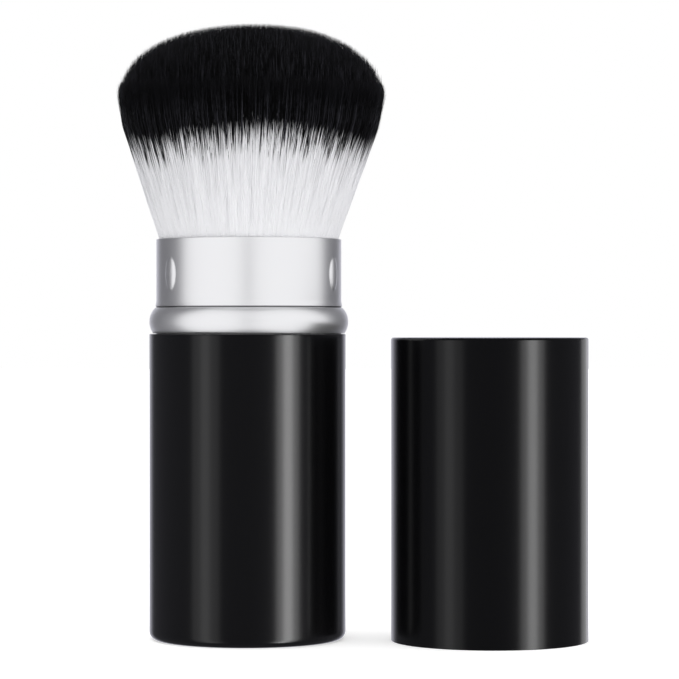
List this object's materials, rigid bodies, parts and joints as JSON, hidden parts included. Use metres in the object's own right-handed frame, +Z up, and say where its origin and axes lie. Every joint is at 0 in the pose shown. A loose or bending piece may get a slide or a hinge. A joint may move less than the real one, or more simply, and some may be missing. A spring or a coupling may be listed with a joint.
{
  "type": "retractable makeup brush",
  "caption": "Retractable makeup brush with a domed two-tone hair head, a silver sleeve that slides up over the hair, a black tube base and a pull-off cap.",
  "frame": {"origin": "centre of the base's flat underside, on the brush's own axis", "axes": "+Z up along the brush from its base to the hair, +X towards the cap that stands beside it, -Y towards the viewer"},
  "size_m": [0.079, 0.044, 0.103],
  "materials": {
    "black_lacquered_aluminium": "gloss black lacquer",
    "satin_anodised_aluminium": "satin silver anodised",
    "plain_aluminium": "plain drawn",
    "black_moulding": "black injection moulding",
    "natural_moulding": "natural white injection moulding",
    "set_glue": "set epoxy",
    "two_tone_fibre": "soft synthetic fibre, white with black tips"
  },
  "bodies": {
    "base": {"base_shell": "black_lacquered_aluminium", "post": "black_moulding", "head_cup": "plain_aluminium", "head_plug": "black_moulding", "potting": "set_glue", "bristles_inner": "two_tone_fibre", "bristles_outer": "two_tone_fibre"},
    "sleeve": {"sleeve_tube": "satin_anodised_aluminium", "bead_collar": "satin_anodised_aluminium", "slide_bush": "natural_moulding"},
    "cap": {"cap_shell": "black_lacquered_aluminium"}
  },
  "joints": [
    {"name": "sleeve_slide", "type": "slide", "parent": "base", "child": "sleeve", "axis": [0, 0, 1], "range_m": [0, 0.036], "deforming": ["bristles_outer"]},
    {"name": "cap_lift", "type": "slide", "parent": "base", "child": "cap", "axis": [0, 0, 1], "range_m": [0, 0.105]}
  ]
}
